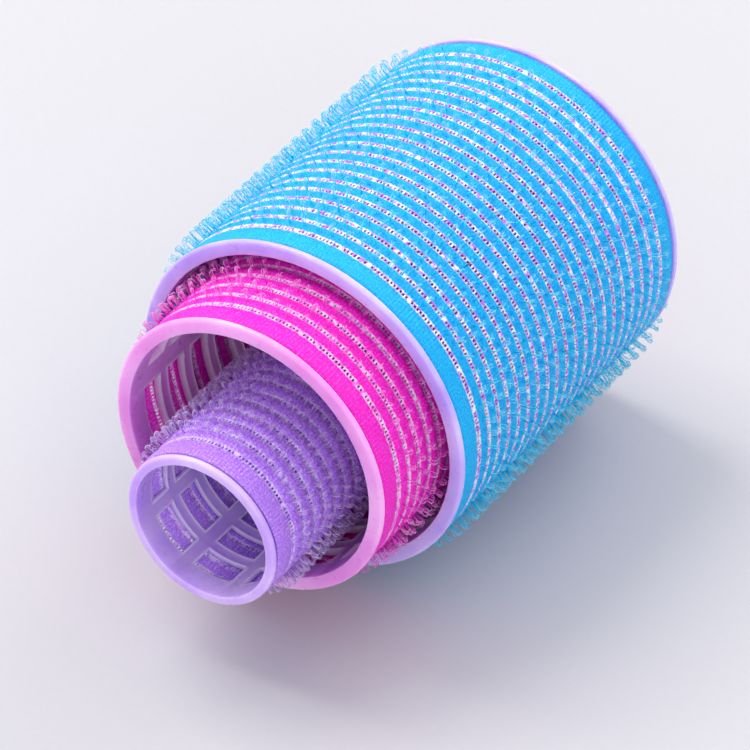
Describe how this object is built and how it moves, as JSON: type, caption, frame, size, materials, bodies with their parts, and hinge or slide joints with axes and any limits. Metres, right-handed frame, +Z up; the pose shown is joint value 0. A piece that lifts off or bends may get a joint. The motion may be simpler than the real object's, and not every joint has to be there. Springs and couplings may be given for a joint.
{
  "type": "hair roller",
  "caption": "Nest of self-grip hair rollers: hook-sleeved lattice tubes of falling size, each sliding out of the next larger one.",
  "frame": {"origin": "under the middle of the nest, on the surface it lies on: the centre of the bounding box's bottom", "axes": "+Y along the rollers, from the small roller's front to the large roller's back; +Z up"},
  "size_m": [0.06, 0.0874, 0.06],
  "materials": {
    "core_lilac": "translucent moulded plastic, satin",
    "core_pink": "translucent moulded plastic, satin",
    "core_purple": "translucent moulded plastic, satin",
    "sleeve_blue": "woven nylon with stiff hooks",
    "sleeve_pink": "woven nylon with stiff hooks",
    "sleeve_purple": "woven nylon with stiff hooks"
  },
  "bodies": {
    "large": {"large_core": "core_lilac", "large_hook_sleeve": "sleeve_blue"},
    "medium": {"medium_core": "core_pink", "medium_hook_sleeve": "sleeve_pink"},
    "small": {"small_core": "core_purple", "small_hook_sleeve": "sleeve_purple"}
  },
  "joints": [
    {"name": "medium_slide", "type": "slide", "parent": "large", "child": "medium", "axis": [0, -1, 0], "range_m": [-0.014, 0.037]},
    {"name": "small_slide", "type": "slide", "parent": "medium", "child": "small", "axis": [0, -1, 0], "range_m": [-0.0125, 0.0385]}
  ]
}
